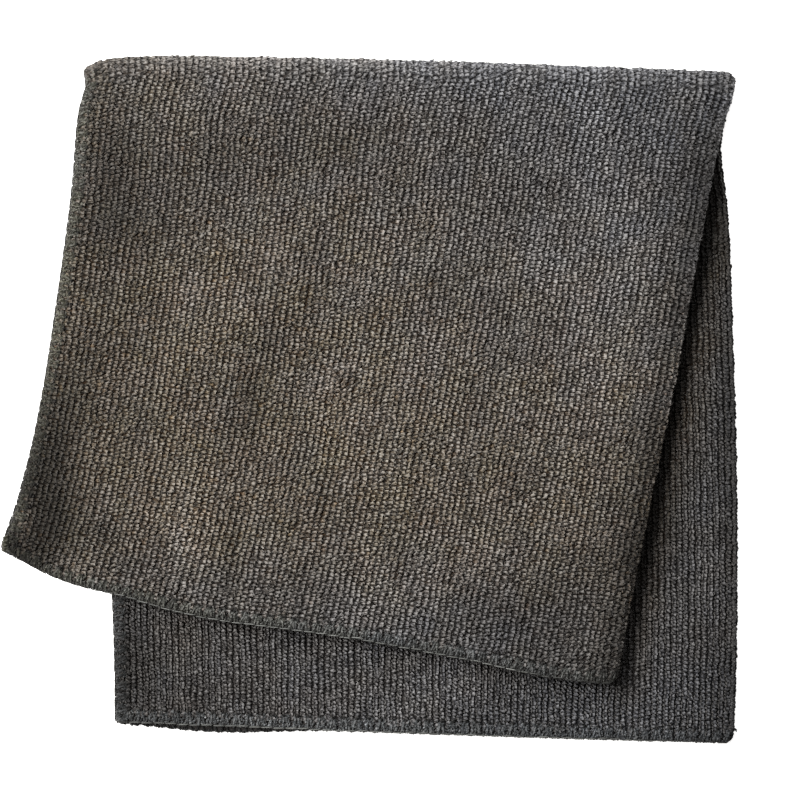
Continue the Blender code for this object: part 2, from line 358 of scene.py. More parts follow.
# The floor is a sheet of white paper over a faint light table, so that shadows stay pale.
FLOOR_HALF, FLOOR_DEPTH = 3.0, 0.1 * MM
FLOOR_COLOUR = (0.90, 0.90, 0.895, 1.0)
FLOOR_LOOK = {"Base Color": FLOOR_COLOUR, "Roughness": 0.9, "Emission Color": FLOOR_COLOUR}
paper = bpy.data.materials.new("pale floor")
paper.use_nodes = True
fill(paper.node_tree.nodes["Principled BSDF"], {**FLOOR_LOOK, "Emission Strength": 0.90})
floor_mesh = bpy.data.meshes.new("floor")
floor_corners = ((-1, -1), (1, -1), (1, 1), (-1, 1))
floor_points = [(x * FLOOR_HALF, y * FLOOR_HALF, -FLOOR_DEPTH) for x, y in floor_corners]
floor_mesh.from_pydata(floor_points, [], [(0, 1, 2, 3)])
floor_mesh.materials.append(paper)
floor = put_in_scene("floor", floor_mesh)
print("lens:", round(camera_data.lens, 1), "mm, lamps:", len(LAMPS))

# %% [markdown]
# ## From arrays to meshes
# Python loops over vertices would take minutes here, so every piece is worked out as whole arrays,
# and foreach_set copies them into the mesh. Numbers kept for each vertex, such as how light or dark
# a loop is, go in as attributes for the materials to read.


# %% From arrays to meshes
def mesh_piece(name, points, faces, material, **attributes):
    """A smooth mesh piece. points is (n, 3), faces is (m, corners), attributes have n values each."""
    mesh = bpy.data.meshes.new(name)
    corners_per_face = faces.shape[1]
    mesh.vertices.add(len(points))
    mesh.vertices.foreach_set("co", np.ascontiguousarray(points, np.float32).ravel())
    mesh.loops.add(faces.size)
    mesh.loops.foreach_set("vertex_index", np.ascontiguousarray(faces, np.int32).ravel())
    mesh.polygons.add(len(faces))
    mesh.polygons.foreach_set("loop_start", np.arange(0, faces.size, corners_per_face, dtype=np.int32))
    mesh.polygons.foreach_set("use_smooth", np.ones(len(faces), bool))
    for title, values in attributes.items():
        layer = mesh.attributes.new(title, "FLOAT", "POINT")
        layer.data.foreach_set("value", np.ascontiguousarray(values, np.float32).ravel())
    mesh.update(calc_edges=True)
    mesh.validate()
    mesh.materials.append(material)
    return put_in_scene(name, mesh)


def copies_piece(name, points, faces, material, **attributes):
    """One piece of n like bodies. points is (n, m, 3), faces are those of the first body, and an
    attribute is (n, m), or (n, 1) where a body has one value."""
    count, each = points.shape[:2]
    numbered = faces[None] + np.arange(count)[:, None, None] * each
    spread = {title: np.broadcast_to(values, (count, each)) for title, values in attributes.items()}
    return mesh_piece(name, points.reshape(-1, 3), numbered.reshape(-1, 3), material, **spread)


def grid_faces(rows, columns, wrap=False):
    """Four-cornered faces of a grid whose vertices are numbered row by row. With wrap, the last
    column joins the first."""
    across_count = columns if wrap else columns - 1
    row, column = np.meshgrid(np.arange(rows - 1), np.arange(across_count), indexing="ij")
    beside = (column + 1) % columns
    faces = [row * columns + column, row * columns + beside]
    faces += [(row + 1) * columns + beside, (row + 1) * columns + column]
    return np.stack(faces, axis=-1).reshape(-1, 4)


def triangles(faces):
    """Each four-cornered face as two triangles."""
    return np.concatenate([faces[:, [0, 1, 2]], faces[:, [0, 2, 3]]])


print("a grid of 3 by 4 has", len(grid_faces(3, 4)), "faces")

# %% [markdown]
# ## Uneven tone
# Most of the cloth's tone is painted light and shade. The lit and shaded slopes of the soft ridges
# and the bright roll of the top fold are painted in, and so are the dark flank of the side fold, the
# shadow that it throws on the back pair, the shade under the front hem and beside the knob, and a
# darker back pair. The upper pair is also darker and browner where it droops at its left, and cooler
# at its top right and along its hem, with a painted cool tint along the top fold from the light above.
# The back pair is cooler too. The tones could be painted by hand, but about a hundred soft bells on
# the cloth's plan, with an uneven field over them, are as easy to move and to mend.

# %% Uneven tone
# Rows like those of the ridges, whose height is how much lighter or cooler a patch is.
# Rows of tone on the upper pair, mostly painted light and shade: the lit and shaded slopes of the ridges,
# the top fold's bright roll, the side fold's dark flank and the shade beside the knob.
FRONT_PAINTED_SHADING_AND_TONE = (
    (-8, -4, 88, 62, 0, 0.14), (-103, -24, 50, 12, 73, -0.72), (-83, 84, 14, 9, 90, -0.25),
    (-80, 60, 20, 11, 75, -0.42), (-79, 30, 14, 12, 0, -0.08), (-37, 76, 38, 13, 6, -0.24),
    (50, 63, 13, 8, 10, -0.18), (68, 91, 15, 8, 90, 0.38), (76, 52, 27, 13, 80, 0.28),
    (55, 44, 14, 7, 0, 0.10), (76, 17, 18, 13, 90, 0.20), (38, 28, 20, 8, -20, -0.18),
    (-39, -1, 19, 8, 68, -0.38), (-25, 25, 14, 9, 30, -0.16), (0, 14, 26, 9, 60, 0.10),
    (-16, -32, 13, 10, 0, -0.26), (-19, -53, 12, 8, 90, -0.18), (-44, -46, 15, 6, 85, -0.28),
    (-58, -41, 17, 8, 80, 0.30), (-72, -59, 16, 8, 0, -0.32), (0, -57, 17, 8, -60, 0.12),
    (87, -34, 44, 13, 79, -0.45), (50, -76, 30, 11, -12, -0.36), (104, 42, 60, 12, 79, -0.36),
    (20, 106.3, 110, 2.5, -1.6, 0.66), (69, 31, 80, 26, 85, 0.12), (77, -74, 26, 6, 79, -0.30),
    (-97, -41, 18, 15, 0, -0.50), (-60, 56, 14, 10, 0, -0.15), (-72, 19, 14, 10, 0, -0.15),
    (-60, -19, 16, 10, 0, -0.15), (-24, 18, 14, 10, 0, -0.12), (60, -58, 22, 12, 0, -0.18),
    (74, -86, 12, 5, 0, -0.18), (66, -85, 8, 7, 0, 0.22), (48, -68, 16, 8, -12, -0.14),
    (-110, -38, 7, 5, 73, 0.50), (-62, 78, 26, 14, 0, -0.08), (-72, 0, 12, 50, 0, -0.08),
    (92, 92, 85, 85, 0, -0.13), (92.6, 6.7, 105, 2.2, 79.4, -0.28), (96.6, 6.7, 105, 1.4, 79.4, 0.90),
    (-112.4, -44.6, 5, 1.2, 80, -0.70), (-88, 58, 22, 7, 75, -0.18), (-97.5, -8, 34, 8, 76, -0.16),
    (-74, -2, 12, 12, 0, -0.16), (-70, 48, 12, 10, 0, -0.14), (-10, 80, 10, 8, 0, -0.20),
    (-35, -1, 10, 14, 0, -0.12), (40, -19, 14, 12, 0, -0.14), (-26, -38, 10, 8, 0, -0.12),
    (-36, -62, 16, 10, 0, -0.13), (74, 72, 12, 10, 0, -0.15), (104, 82, 10, 22, 0, -0.16),
    (-86, 103, 9, 6, 0, -0.28), (-85, 27, 8, 8, 0, 0.12), (52, 38, 12, 10, 0, 0.16),
    (40, 46, 10, 8, 0, 0.10), (70, -19, 12, 9, 0, 0.14), (35, -54, 14, 12, 0, 0.14),
    (22, 97, 60, 9, -2, 0.10), (90, 4, 22, 6, 80, 0.20), (22, 102, 30, 5, 0, 0.12),
    (58, 76, 12, 12, 0, 0.12), (9, 58, 10, 12, 0, 0.08), (72, -76, 10, 6, 0, 0.12),
    (-72, -47, 14, 8, 0, -0.16), (66, -50, 24, 16, 0, -0.10), (3, -27, 8, 10, 0, 0.13),
    (78, -61, 6, 8, 79, 0.20), (41, -29, 8, 8, 0, -0.12), (-35, -10, 8, 10, 0, -0.10),
    (72, 57, 14, 6, 0, 0.10), (-85, -56, 10, 6, -20, 0.20), (-60, -48, 8, 8, 0, 0.12),
    (102, 95, 10, 6, 0, 0.14),
)
# Rows of tone on the back pair, mostly painted shade: the shadow that the side fold throws, the darker
# right edge where it turns away, and the shade under the front hem.
BACK_PAINTED_SHADING_AND_TONE = (
    (-76, -85, 26, 17, 90, -0.39), (13, -92, 26, 9, 0, 0.38), (49, -82, 24, 8, -12, -0.36),
    (110, 74, 34, 10, 90, -0.42), (110, -95, 20, 12, 90, -0.28), (115, -20, 110, 5, 90, -0.50),
    (106, 24, 60, 22, 90, -0.15), (97.5, 6.7, 105, 2.6, 79.4, -0.80), (92, -42, 30, 7, 79.4, -0.34),
    (-77.5, -82, 26, 2.2, 91, -0.30), (48, -80, 20, 10, 0, -0.12), (104, -32, 30, 9, 84, -0.16),
    (41, -86, 9, 8, 0, -0.20), (-66, -90, 14, 8, 0, -0.14), (79, -104, 14, 5, 0, 0.18),
    (104, -38, 16, 9, 90, 0.20), (-20, -103.5, 50, 2.5, -2, 0.22), (92, -106.5, 30, 2.5, -2, -0.22),
    (90, -84, 16, 9, 90, 0.15), (70, -76, 14, 6, 0, 0.12),
)
# Rows of coolness. The row along the top fold is a painted cool tint of the light from above.
FRONT_COOL_PATCHES = (
    (92, 92, 95, 95, 0, 0.85), (-20, 106, 110, 16, -2, 0.45), (-60, 70, 50, 22, 0, 0.25),
    (-15, -70, 110, 16, -11.5, 0.50), (48, -70, 60, 24, -12, 0.40), (-104, -30, 40, 14, 75, -0.35),
)
# On the back pair the first row takes the cool tint out of the painted shadow beside the side fold.
BACK_COOL_PATCHES = (
    (99, 0, 105, 6, 79.4, -0.60), (-66, -78, 34, 26, 0, -0.15), (90, -104, 50, 22, 0, 0.34),
)
# The whole back pair is painted darker, as shade on the lower layers, and it is cooler.
BACK_PAINTED_SHADE, BACK_COOLNESS = 0.77, 0.78
DARKEST_TONE = 0.15
TONE_WEAR = Waves(0.05, 9 * MM, 45 * MM, 5)
HUE_WEAR = Waves(0.07, 8 * MM, 30 * MM, 6)


def painted_shading_and_wear_at(x, y, is_back):
    """Tone is 1 plus its patches, mostly painted light and shade, times the back pair's painted shade on
    the back pair, times an uneven field. Coolness is its patches, plus BACK_COOLNESS on the back pair,
    plus another uneven field."""
    back_tone = BACK_PAINTED_SHADE * (1 + bells(x, y, BACK_PAINTED_SHADING_AND_TONE))
    tone = np.maximum(np.where(is_back, back_tone, 1 + bells(x, y, FRONT_PAINTED_SHADING_AND_TONE)), DARKEST_TONE)
    tone = tone * (1 + uneven(x, y, TONE_WEAR))
    back_coolness = BACK_COOLNESS + bells(x, y, BACK_COOL_PATCHES)
    coolness = np.where(is_back, back_coolness, bells(x, y, FRONT_COOL_PATCHES))
    return tone, np.clip(coolness + uneven(x, y, HUE_WEAR), 0, 1)


print("patches of tone in front:", len(FRONT_PAINTED_SHADING_AND_TONE), "on the back:", len(BACK_PAINTED_SHADING_AND_TONE))

# %% [markdown]
# ## Materials
# The pile is split polyester fibre, dyed a dark warm grey, and the overlock thread is a soft,
# crimped yarn of nearly the same dye. A thinner, smoother and lighter thread runs along the very
# edge. The light down among the tufts has passed through dyed fibre again and again, so the hue is
# deeper there. A photograph of the cloth would show one light only, so the colour is mixed from
# noise, and from the tone, coolness and depth that each vertex brings.

# %% Materials
Textile = namedtuple(
    "Textile", "name colour other_colour cool_colour roughness specular sheen patches fibres lift fleck"
)
TEXTILES = (
    Textile(
        "looped pile", (0.0985, 0.0815, 0.0650, 1.0), (0.0960, 0.0815, 0.0610, 1.0),
        (0.0800, 0.0815, 0.0890, 1.0), 0.88, 0.12, 0.06, 80.0, 1650.0, 0.30 * MM, 0.75,
    ),
    # The ground's colour is far darker and browner than the pile's dye, a painted shade between the loops.
    Textile(
        "knitted ground", (0.0355, 0.0250, 0.0168, 1.0), (0.0355, 0.0250, 0.0168, 1.0),
        (0.0245, 0.0250, 0.0268, 1.0), 0.95, 0.05, 0.0, 55.0, 1800.0, 0.25 * MM, 0.30,
    ),
    Textile(
        "overlock thread", (0.0470, 0.0456, 0.0340, 1.0), (0.0470, 0.0456, 0.0340, 1.0),
        (0.0468, 0.0506, 0.0555, 1.0), 0.85, 0.12, 0.05, 60.0, 1600.0, 0.22 * MM, 0.70,
    ),
    Textile(
        "edge thread", (0.106, 0.110, 0.104, 1.0), (0.106, 0.110, 0.104, 1.0),
        (0.106, 0.110, 0.104, 1.0), 0.60, 0.35, 0.0, 60.0, 4000.0, 0.05 * MM, 0.15,
    ),
)
SHEEN_COLOUR = (1.0, 0.95, 0.90, 1.0)
FIBRE_STRETCH = (0.8, 1.2, 1.0)
PATCH_SPAN, FIBRE_SPAN = 0.12, 0.14  # what the noise is stretched from, either way of its middle
DARK_FIBRE_POWER, LIGHT_FIBRE_POWER = 1.5, 0.5
DEEPER = 3.8  # how much more often light at a root has passed through the dyed fibre


def textile_material(textile):
    """Two colours mixed by an uneven noise, then towards the cool colour by the attribute coolness.
    Divided by the colour's green, raised to a power, and times that green again, it keeps its
    brightness but its hue grows deeper. The power is DEEPER * the attribute depth, plus more on a
    dark fibre than on a light one. The colour is then multiplied by the attribute tone. Fine noise,
    drawn out across the ribs, lifts the fibres as bump, and makes them lighter or darker."""
    material = bpy.data.materials.new(textile.name)
    material.use_nodes = True
    nodes = material.node_tree.nodes

    def output_of(kind, output, inputs, **properties):
        """The named output of a new node, with its properties set before its inputs."""
        node = nodes.new("ShaderNode" + kind)
        for title, value in properties.items():
            setattr(node, title, value)
        fill(node, inputs)
        return node.outputs[output]

    def attribute(title):
        """The number of that title that each vertex brings."""
        return output_of("Attribute", "Fac", {}, attribute_name=title)

    def noise(at, scale, detail):
        """A noise about 0.5."""
        return output_of("TexNoise", "Fac", {"Vector": at, "Scale": scale, "Detail": detail})

    def stretched(value, span, low, high):
        """low at 0.5 - span, high at 0.5 + span, and even between them."""
        ends = {"From Min": 0.5 - span, "From Max": 0.5 + span, "To Min": low, "To Max": high}
        return output_of("MapRange", "Result", {"Value": value, **ends})

    def mixed(share, a, b):
        """a * (1 - share) + b * share."""
        return output_of("Mix", "Result", {"Factor": share, "A": a, "B": b}, data_type="RGBA")

    def scaled(colour, by):
        """colour * by."""
        return output_of("VectorMath", "Vector", {"Vector": colour, "Scale": by}, operation="SCALE")

    place = output_of("TexCoord", "Object", {})
    patches = stretched(noise(place, textile.patches, 1.0), PATCH_SPAN, 0.0, 1.0)
    dyed = mixed(patches, textile.colour, textile.other_colour)
    cooled = mixed(attribute("coolness"), dyed, textile.cool_colour)
    drawn_out = output_of("Mapping", "Vector", {"Vector": place, "Scale": FIBRE_STRETCH})
    fibres = noise(drawn_out, textile.fibres, 0.5)

    own_power = stretched(fibres, FIBRE_SPAN, DARK_FIBRE_POWER, LIGHT_FIBRE_POWER)
    powers = {0: attribute("depth"), 1: DEEPER, 2: own_power}
    power = output_of("Math", "Value", powers, operation="MULTIPLY_ADD")
    green = textile.colour[1]
    deepened = output_of("Gamma", "Color", {"Color": scaled(cooled, 1 / green), "Gamma": power})
    fleck = stretched(fibres, FIBRE_SPAN, green * (1 - textile.fleck), green * (1 + textile.fleck))
    tone = output_of("Math", "Value", {0: attribute("tone"), 1: fleck}, operation="MULTIPLY")
    lift = {"Strength": 0.7, "Distance": textile.lift, "Height": fibres}
    fill(nodes["Principled BSDF"], {
        "Base Color": scaled(deepened, tone), "Normal": output_of("Bump", "Normal", lift),
        "Roughness": textile.roughness, "Specular IOR Level": textile.specular,
        "Sheen Weight": textile.sheen, "Sheen Roughness": 0.5, "Sheen Tint": SHEEN_COLOUR,
    })
    return material


pile_material, ground_material, thread_material, edge_material = map(textile_material, TEXTILES)
print("materials:", [textile.name for textile in TEXTILES])

# %% [markdown]
# ## The knitted ground
# Under the loops is a thin knitted ground. Its outer face is a grid of the flat cloth, sent through
# the fold function and lifted a little. Its inner face is the same grid, sunk. Four strips round the
# cut edges join the two into one closed sheet. Its colour is far darker than the pile's, a painted
# shade down between the loops. It lies higher and is lighter, with less of that painted shade,
# where the top fold spreads the loops apart, and it is lighter near the edges, where the overlock's
# fuzz covers it and makes it cooler too. Solidify would give one thickness everywhere.

# %% The knitted ground
GROUND_LIFT, GROUND_SINK = 0.22 * MM, 0.95 * MM
EDGE_LIFT, EDGE_SINK = 0.40 * MM, 0.45 * MM
FOLD_LIFT = 0.62 * MM
EDGE_BAND = 3.4 * MM
EDGE_OUT = 0.30 * MM
EDGE_LIGHTER, EDGE_COOLNESS = 1.2, 0.8
# Where the top fold spreads the loops, the ground carries less painted shade.
FOLD_LIGHTER, SIDE_FOLD_OPENING = 0.9, 0.3
FLAT_LINES_ACROSS, SIDE_FOLD_LINES = 60, 12
FLAT_LINES_ALONG, TOP_FOLD_LINES = 62, 14


def grid_lines(turn, flat_lines, fold_lines):
    """Even steps over each flat panel, -1 to -turn and turn to 1, and finer ones round the fold."""
    flat = np.linspace(-1, -turn, flat_lines + 1)
    fold = np.linspace(-turn, turn, fold_lines + 1)
    return np.concatenate([flat[:-1], fold, -flat[-2::-1]])


def edge_nearness(across, along):
    """1 at a cut edge, falling smoothly to 0 at the band's depth."""
    depth = (1 - np.maximum(np.abs(across), np.abs(along))) * HALF_SIDE
    return 1 - smooth(depth / EDGE_BAND)


def fold_opening(across, along):
    """How far a fold spreads the loops apart, 0 to 1: exp(-(along / top turn)^2) on the outer ply,
    which goes round the outside of the top fold, or a weaker bell round the side fold."""
    top = np.exp(-((along / TOP_TURN) ** 2)) * (across < SIDE_TURN)
    return np.maximum(top, SIDE_FOLD_OPENING * np.exp(-((across / SIDE_TURN) ** 2)))


def at_rim(measure):
    """-1 or 1 at either end of a measure, and 0 between them."""
    return (np.sign(measure) * (np.abs(measure) > 1 - 1e-9))[..., None]


across_lines = grid_lines(SIDE_TURN, FLAT_LINES_ACROSS, SIDE_FOLD_LINES)
along_lines = grid_lines(TOP_TURN, FLAT_LINES_ALONG, TOP_FOLD_LINES)
along_grid, across_grid = np.meshgrid(along_lines, across_lines, indexing="ij")
rows, columns = along_grid.shape
place = sheet_place(across_grid, along_grid)
nearness = edge_nearness(across_grid, along_grid)
opened = fold_opening(across_grid, along_grid)
lift = GROUND_LIFT + (EDGE_LIFT - GROUND_LIFT) * nearness
lift = np.maximum(lift, GROUND_LIFT + FOLD_LIFT * opened)[..., None]
sink = (GROUND_SINK + (EDGE_SINK - GROUND_SINK) * nearness)[..., None]
outwards = (place.across_way * at_rim(across_grid) + place.along_way * at_rim(along_grid)) * EDGE_OUT
both_faces = [place.point + place.face_up * lift, place.point - place.face_up * sink]
ground_points = np.concatenate([face + outwards for face in both_faces]).reshape(-1, 3)

number = np.arange(rows * columns).reshape(rows, columns)
rim = np.concatenate([number[0, :-1], number[:-1, -1], number[-1, :0:-1], number[:0:-1, 0]])
next_rim = np.roll(rim, -1)
below = rows * columns
strip = np.stack([next_rim, rim, rim + below, next_rim + below], axis=1)
outer_faces = grid_faces(rows, columns)
ground_faces = np.concatenate([outer_faces, outer_faces[:, ::-1] + below, strip])
on_back = np.tile((along_grid < 0).ravel(), 2)
tone, coolness = painted_shading_and_wear_at(ground_points[:, 0], ground_points[:, 1], on_back)
lighter = 1 + EDGE_LIGHTER * nearness + FOLD_LIGHTER * opened
ground = mesh_piece(
    "knit_ground", ground_points, ground_faces, ground_material,
    tone=tone * np.tile(lighter.ravel(), 2),
    coolness=np.maximum(coolness, EDGE_COOLNESS * np.tile(nearness.ravel(), 2)),
)
print("ground:", len(ground_faces), "faces")

# %% [markdown]
# ## Where the overlock goes
# The four cut edges are sewn over by an overlock machine: its threads go out from a line of needle
# holes, round the edge, and back on the other face, once every 3.8 mm. A run is one edge of the flat
# square. A stitch is drawn in the run's own measures, which are how far along the edge it is, how
# deep in from the edge, and how high over the middle of the sheet. It is then sent through the fold.
# The thread pulls each needle hole down, so whatever lies beside a hole is in its shade.

# %% Where the overlock goes
Run = namedtuple("Run", "start end inwards")
FRONT_HEM, BACK_HEM = Run((-1, 1), (1, 1), (0, -1)), Run((1, -1), (-1, -1), (0, 1))
RUNS = (Run((-1, -1), (-1, 1), (1, 0)), FRONT_HEM, Run((1, 1), (1, -1), (-1, 0)), BACK_HEM)
STITCH_PITCH = 3.8 * MM
NEEDLE_DEPTH = 3.4 * MM
HOLE_RADIUS, HOLE_SHADE = 0.65 * MM, 0.8
RUN_SURVEY = 1500  # places at which a run's length is measured


def edge_at(run, share):
    """The across and the along of the very edge, at a share of a run."""
    return [start + (end - start) * share for start, end in zip(run.start, run.end)]


def run_place(run, share, depth):
    """The sheet's place at a share of the run's length and a depth from the edge, in metres, with
    the unit vector that points in from the edge."""
    measures = zip(edge_at(run, share), run.inwards)
    place = sheet_place(*(np.clip(at + inwards * depth / HALF_SIDE, -1, 1) for at, inwards in measures))
    return place, run.inwards[0] * place.across_way + run.inwards[1] * place.along_way


def stitch_shares(run):
    """The shares of a run at which its needle holes lie, at even lengths, and their count."""
    share = np.linspace(0, 1, RUN_SURVEY)
    place, _ = run_place(run, share, np.zeros_like(share))
    length = np.concatenate([[0], np.cumsum(np.linalg.norm(np.diff(place.point, axis=0), axis=1))])
    count = round(length[-1] / STITCH_PITCH)
    return np.interp(np.arange(count + 1) / count * length[-1], length, share), count


def hole_shade(across, along):
    """1 - HOLE_SHADE * exp(-(r / HOLE_RADIUS)^2), with the distance r over the flat cloth to the
    nearest hole."""
    nearest = np.full(across.shape, np.inf)
    for run in RUNS:
        way = 0 if run.inwards[0] == 0 else 1  # the measure that runs along this edge
        on_run, off_run = ((across, along), (along, across))[way]
        depth = (1 + off_run * sum(run.inwards)) * HALF_SIDE
        share = (on_run - run.start[way]) / (run.end[way] - run.start[way])
        holes, count = stitch_shares(run)
        after = np.clip(np.searchsorted(holes, share), 1, count)
        beside = np.minimum(np.abs(share - holes[after]), np.abs(share - holes[after - 1])) * CLOTH_SIDE
        nearest = np.minimum(nearest, np.hypot(depth - NEEDLE_DEPTH, beside))
    return 1 - HOLE_SHADE * np.exp(-((nearest / HOLE_RADIUS) ** 2))


print("stitches on each edge:", [stitch_shares(run)[1] for run in RUNS])

# %% [markdown]
# ## Where the loops stand
# The knit has upright ribs, 1.9 mm apart, and in each rib a loop every 1.2 mm. The ribs are spaced
# evenly at the level of the loops, which is longer round the side fold than the sheet's middle is.
# Each rib is a line of one across value, which is measured, and the loops are set out along it at
# even lengths. Washing and pulling have swayed the ribs and bunched the loops, so uneven fields and
# a little chance move them.

# %% Where the loops stand
RIB_PITCH, LOOP_PITCH = 1.94 * MM, 1.23 * MM
LOOP_LEVEL = 0.78 * MM
BARE_HEM = 1.7 * MM
RIB_SWAY = Waves(0.13 * MM, 5 * MM, 26 * MM, 7)
LOOP_BUNCHING = Waves(0.06 * MM, 4 * MM, 14 * MM, 8)
LOOP_JITTER = 0.08 * MM
RIB_SURVEY = 700  # places at which a rib's length is measured
rng = np.random.default_rng(11)

edge = 1 - BARE_HEM / HALF_SIDE
fold_length = SIDE_TURN * HALF_SIDE * (1 + LOOP_LEVEL / SIDE_RADIUS)
flat_length = (edge - SIDE_TURN) * HALF_SIDE
level = np.array([-flat_length - fold_length, -fold_length, fold_length, fold_length + flat_length])
rib_count = int(2 * level[-1] / RIB_PITCH)
rib_length = np.linspace(level[0], level[-1], rib_count)
rib_across = np.interp(rib_length, level, (-edge, -SIDE_TURN, SIDE_TURN, edge))
survey_along = np.linspace(-edge, edge, RIB_SURVEY)
survey_across, survey_on = np.meshgrid(rib_across, survey_along, indexing="ij")
surveyed = sheet_point(survey_across, survey_on)
steps = np.linalg.norm(np.diff(surveyed, axis=1), axis=-1)
lengths = np.concatenate([np.zeros((rib_count, 1)), np.cumsum(steps, axis=1)], axis=1)

most_loops = int(lengths[:, -1].max() / LOOP_PITCH) + 1
at_length = rng.uniform(0, LOOP_PITCH, rib_count)[:, None] + np.arange(most_loops) * LOOP_PITCH
on_rib = [at[at < length[-1]] for at, length in zip(at_length, lengths)]
loop_along = np.concatenate([np.interp(at, length, survey_along) for at, length in zip(on_rib, lengths)])
loop_across = np.repeat(rib_across, list(map(len, on_rib)))

flat_x, flat_y = loop_across * HALF_SIDE, loop_along * HALF_SIDE
jitter = LOOP_JITTER * rng.normal(0, 1, (2, len(flat_x)))
moved_x = flat_x + uneven(flat_x, flat_y, RIB_SWAY) + jitter[0]
moved_y = flat_y + uneven(flat_x, flat_y, LOOP_BUNCHING) + jitter[1]
loop_across, loop_along = (np.clip(moved / HALF_SIDE, -edge, edge) for moved in (moved_x, moved_y))
print("ribs:", rib_count, "loops on the whole face:", len(loop_across))

# %% [markdown]
# ## Which loops are made
# The whole face has some 65,000 loops, but most of those between the layers are never seen. Only
# the outer ones are made: on the front, on the underside, round the folds, and on the part of the
# back pair that shows, with a margin that goes in under the front pair.

# %% Which loops are made
MARGIN = 9 * MM
PAST_SIDE_FOLD, PAST_TOP_FOLD = 1.3, 1.5  # where a fold's own loops end, in its turns
loop_place = sheet_place(loop_across, loop_along)
loop_x, loop_y, _ = loop_place.point.T

left_x, left_y, right_x, right_y = FRONT_OUTLINE[1:] * MM
beside_front = loop_x > np.interp(loop_y, right_y[::-1], right_x[::-1]) - MARGIN
hem_y = np.interp(loop_x, (left_x[-1], right_x[-1]), (left_y[-1], right_y[-1]))
below_front = loop_y < hem_y + MARGIN
overhang = (loop_along > 0) & (loop_x < back_edge_x(loop_y) + MARGIN)

outer = loop_across < SIDE_TURN
in_side_fold = np.abs(loop_across) < SIDE_TURN * PAST_SIDE_FOLD
front_face = outer & (loop_along > -TOP_TURN * PAST_TOP_FOLD)
underside = outer & ~front_face & ~in_side_fold
back_face = ~outer & (loop_along <= 0) & (beside_front | below_front)
back_face |= outer & ~front_face & in_side_fold
back_face |= ~outer & overhang
print("loops in front:", front_face.sum(), "below:", underside.sum(), "back and overhang:", back_face.sum())

# %% [markdown]
# ## The loops
# A loop of this pile is a tuft of fine fibres, arched out of the ground and back into it, and it
# lies at a slant over its rib. Seen from above it is like a plump grain of rice. A grain of two
# rings and two low tips is enough, because it is only two or three millimetres long, and one array
# makes them all. They could be strands of hair, but a hair can't lean out at one end and back in
# at the other. On the back pair, which is less worn, the loops are rounder and each rib stands
# apart.

# %% The loops
FULL_GRAIN, PRESSED_GRAIN = (6, (-0.55, 0.55)), (4, (0.0,))  # sides, and where the rings are
ARCH, PLUMPNESS = 0.38, 1.06
ABOVE_FLOOR = 0.02 * MM


def grain_shape(sides, ring_places):
    """A closed grain in a ball of radius 1: rings round the x axis at the given places, each of
    radius sqrt(1 - x^2), and a tip at each end, all lowered by ARCH * x^2."""
    here = np.arange(sides)
    ring_x = np.repeat(ring_places, sides)
    reach = np.sqrt(1 - ring_x**2) * PLUMPNESS
    around = np.tile(here * 2 * math.pi / sides + math.pi / 2, len(ring_places))
    rings = np.stack([ring_x, reach * np.cos(around), reach * np.sin(around)], axis=1)
    points = np.concatenate([[[-1, 0, 0]], rings, [[1, 0, 0]]])
    points[:, 2] -= ARCH * points[:, 0] ** 2

    walls = triangles(grid_faces(len(ring_places), sides, wrap=True)[:, ::-1] + 1)
    beside = (here + 1) % sides
    first_tip = np.stack([np.zeros_like(here), beside + 1, here + 1], axis=1)
    last_ring = 1 + (len(ring_places) - 1) * sides
    far_tip = np.full_like(here, len(points) - 1)
    last_tip = np.stack([here + last_ring, beside + last_ring, far_tip], axis=1)
    return points, np.concatenate([first_tip, walls, last_tip])


def placed_grains(shape, centre, ways, half_sizes):
    """centre + the sum of x, y and z times a half size times its way, for every (x, y, z) of a
    grain's shape. ways and half_sizes are of three each."""
    axes = np.stack([way * half_size[:, None] for way, half_size in zip(ways, half_sizes)], axis=1)
    points = centre[:, None, :] + np.einsum("vi,nij->nvj", shape, axes)
    points[..., 2] = np.maximum(points[..., 2], ABOVE_FLOOR)
    return points


Loop = namedtuple("Loop", "half_length half_width half_height slant slant_spread")
FRONT_LOOP = Loop(1.50 * MM, 0.61 * MM, 0.36 * MM, 18, 16)
BACK_LOOP = Loop(1.02 * MM, 0.74 * MM, 0.48 * MM, 24, 12)
SLANT_SWAY = Waves(12, 8 * MM, 50 * MM, 9)  # in degrees
STAND_SWAY = Waves(0.05 * MM, 3 * MM, 12 * MM, 10)
PRESSED_STAND, STAND_SPREAD = 0.60 * MM, 0.07 * MM
FOLD_OPENING = 0.45 * MM  # how much prouder the loops stand where the top fold spreads them
TIP_RISE, TIP_RISE_SPREAD = 5, 7  # in degrees
SIZE_SPREAD, TONE_SPREAD = 0.08, 0.07
OPEN_LONGER, OPEN_WIDER = 0.6, 0.3  # where a fold spreads the loops
# A loop's tone at its root, a painted shade down among the fibres.
ROOT_PAINTED_SHADE = 0.50
BARE_FROM, BARE_OVER = 0.10 * MM, 0.8 * MM


